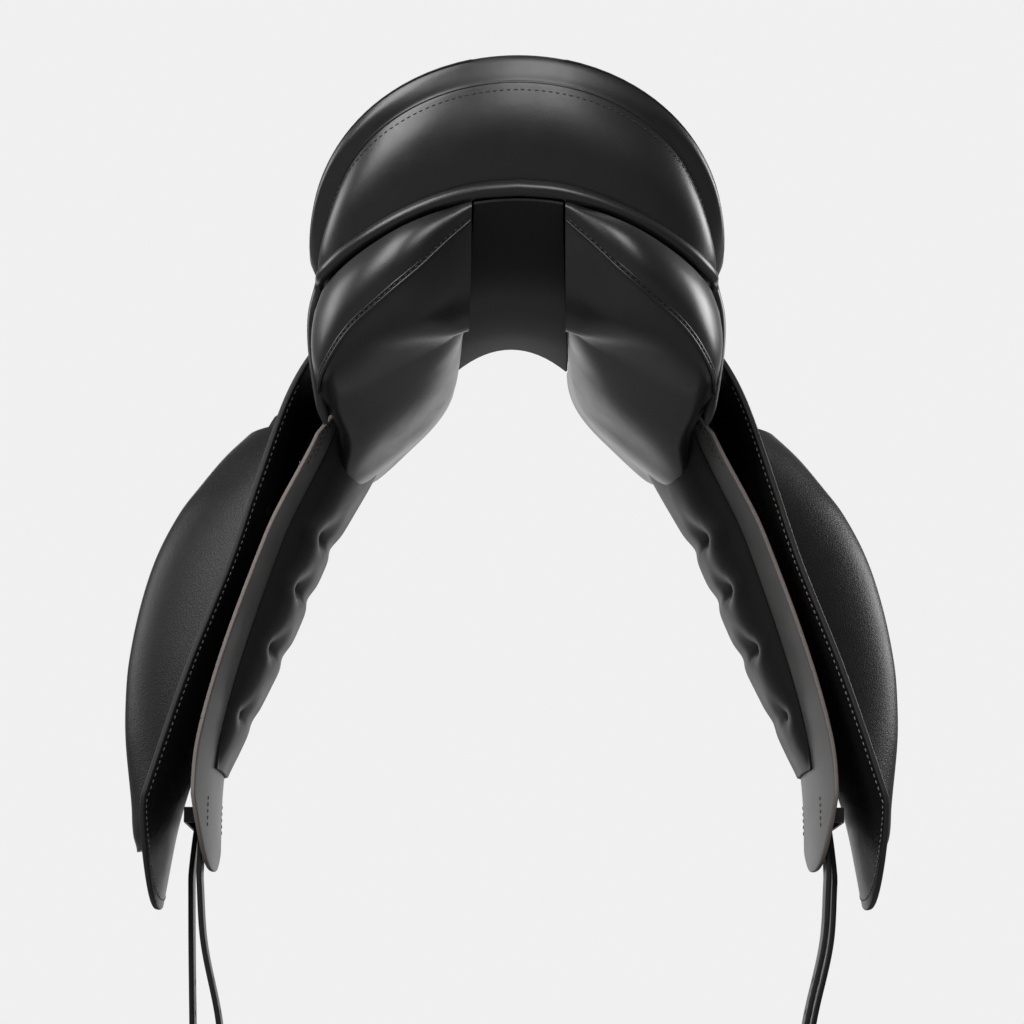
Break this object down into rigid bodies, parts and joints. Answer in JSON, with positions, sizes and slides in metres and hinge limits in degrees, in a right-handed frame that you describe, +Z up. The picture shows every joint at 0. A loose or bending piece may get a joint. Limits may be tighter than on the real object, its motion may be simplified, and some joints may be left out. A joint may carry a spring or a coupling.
{
  "type": "dressage saddle",
  "caption": "Black leather dressage saddle with a deep seat, flocked panels, long flaps with thigh blocks, sweat flaps, stirrup bars, dee rings and long billets",
  "frame": {"origin": "midway between the panels, level with their bearing edge at the waist", "axes": "+X to the rider's right, +Y towards the pommel, +Z up"},
  "size_m": [0.6454, 0.4779, 0.9091],
  "materials": {
    "smooth_leather": "smooth black calf leather, satin",
    "grained_leather": "black pebble-grained leather",
    "strap_leather": "thick black bridle leather with pale cut edges",
    "laminated_wood": "laminated beech",
    "forged_steel": "forged steel",
    "bright_steel": "polished stainless steel",
    "webbing": "linen webbing",
    "foam": "latex foam",
    "wool_flock": "wool flock"
  },
  "bodies": {
    "saddle": {"tree": "laminated_wood", "tree_point_right": "laminated_wood", "tree_point_left": "laminated_wood", "gullet_plate": "forged_steel", "point_rivets": "forged_steel", "stirrup_bar_right": "forged_steel", "stirrup_bar_left": "forged_steel", "bar_rivets": "forged_steel", "catch_pin_right": "forged_steel", "catch_pin_left": "forged_steel", "seat_webs": "webbing", "seat_foam": "foam", "seat_cover": "smooth_leather", "seat_roll": "smooth_leather", "cantle_back": "smooth_leather", "panel_welt": "smooth_leather", "channel_lining": "smooth_leather", "panel_cover_right": "smooth_leather", "panel_cover_left": "smooth_leather", "panel_flock_right": "wool_flock", "panel_flock_left": "wool_flock", "knee_pad_right": "smooth_leather", "knee_pad_left": "smooth_leather", "sweat_flap_right": "strap_leather", "sweat_flap_left": "strap_leather", "flap_head_right": "strap_leather", "flap_head_left": "strap_leather", "skirt_head_right": "grained_leather", "skirt_head_left": "grained_leather", "billet_strap_front_right": "strap_leather", "billet_strap_rear_right": "strap_leather", "billet_strap_front_left": "strap_leather", "billet_strap_rear_left": "strap_leather", "billet_keeper_right": "strap_leather", "billet_keeper_left": "strap_leather", "pommel_facing": "smooth_leather", "dee_chape_right": "strap_leather", "dee_chape_left": "strap_leather"},
    "flap_right_body": {"flap_right": "grained_leather", "thigh_block_right": "grained_leather"},
    "skirt_right_body": {"skirt_right": "grained_leather"},
    "catch_right_body": {"bar_catch_right": "forged_steel"},
    "dee_right_body": {"dee_ring_right": "bright_steel"},
    "billet_front_right_body": {"billet_front_right": "strap_leather"},
    "billet_rear_right_body": {"billet_rear_right": "strap_leather"},
    "flap_left_body": {"flap_left": "grained_leather", "thigh_block_left": "grained_leather"},
    "skirt_left_body": {"skirt_left": "grained_leather"},
    "catch_left_body": {"bar_catch_left": "forged_steel"},
    "dee_left_body": {"dee_ring_left": "bright_steel"},
    "billet_front_left_body": {"billet_front_left": "strap_leather"},
    "billet_rear_left_body": {"billet_rear_left": "strap_leather"}
  },
  "joints": [
    {"name": "flap_right_hinge", "type": "hinge", "parent": "saddle", "child": "flap_right_body", "pos_m": [0.128, 0, 0.052], "axis": [0, -1, 0], "range_deg": [0, 55]},
    {"name": "skirt_right_hinge", "type": "hinge", "parent": "flap_right_body", "child": "skirt_right_body", "pos_m": [0.128, 0, 0.052], "axis": [0, -1, 0], "range_deg": [0, 40]},
    {"name": "catch_right_hinge", "type": "hinge", "parent": "saddle", "child": "catch_right_body", "pos_m": [0.0958, 0.097, 0.04962], "axis": [0.6428, 0, -0.766], "range_deg": [0, 80]},
    {"name": "dee_right_hinge", "type": "hinge", "parent": "saddle", "child": "dee_right_body", "pos_m": [0.036, 0.2318, 0.104], "axis": [1, 0, 0], "range_deg": [0, 110]},
    {"name": "billet_front_right_hinge", "type": "hinge", "parent": "saddle", "child": "billet_front_right_body", "pos_m": [0.25941, 0.085, -0.38], "axis": [0, -1, 0], "range_deg": [-35, 20]},
    {"name": "billet_rear_right_hinge", "type": "hinge", "parent": "saddle", "child": "billet_rear_right_body", "pos_m": [0.24804, 0.025, -0.38], "axis": [0, -1, 0], "range_deg": [-35, 20]},
    {"name": "flap_left_hinge", "type": "hinge", "parent": "saddle", "child": "flap_left_body", "pos_m": [-0.128, 0, 0.052], "axis": [0, 1, 0], "range_deg": [0, 55]},
    {"name": "skirt_left_hinge", "type": "hinge", "parent": "flap_left_body", "child": "skirt_left_body", "pos_m": [-0.128, 0, 0.052], "axis": [0, 1, 0], "range_deg": [0, 40]},
    {"name": "catch_left_hinge", "type": "hinge", "parent": "saddle", "child": "catch_left_body", "pos_m": [-0.0958, 0.097, 0.04962], "axis": [0.6428, 0, 0.766], "range_deg": [0, 80]},
    {"name": "dee_left_hinge", "type": "hinge", "parent": "saddle", "child": "dee_left_body", "pos_m": [-0.036, 0.2318, 0.104], "axis": [1, 0, 0], "range_deg": [0, 110]},
    {"name": "billet_front_left_hinge", "type": "hinge", "parent": "saddle", "child": "billet_front_left_body", "pos_m": [-0.25941, 0.085, -0.38], "axis": [0, 1, 0], "range_deg": [-35, 20]},
    {"name": "billet_rear_left_hinge", "type": "hinge", "parent": "saddle", "child": "billet_rear_left_body", "pos_m": [-0.24804, 0.025, -0.38], "axis": [0, 1, 0], "range_deg": [-35, 20]}
  ]
}
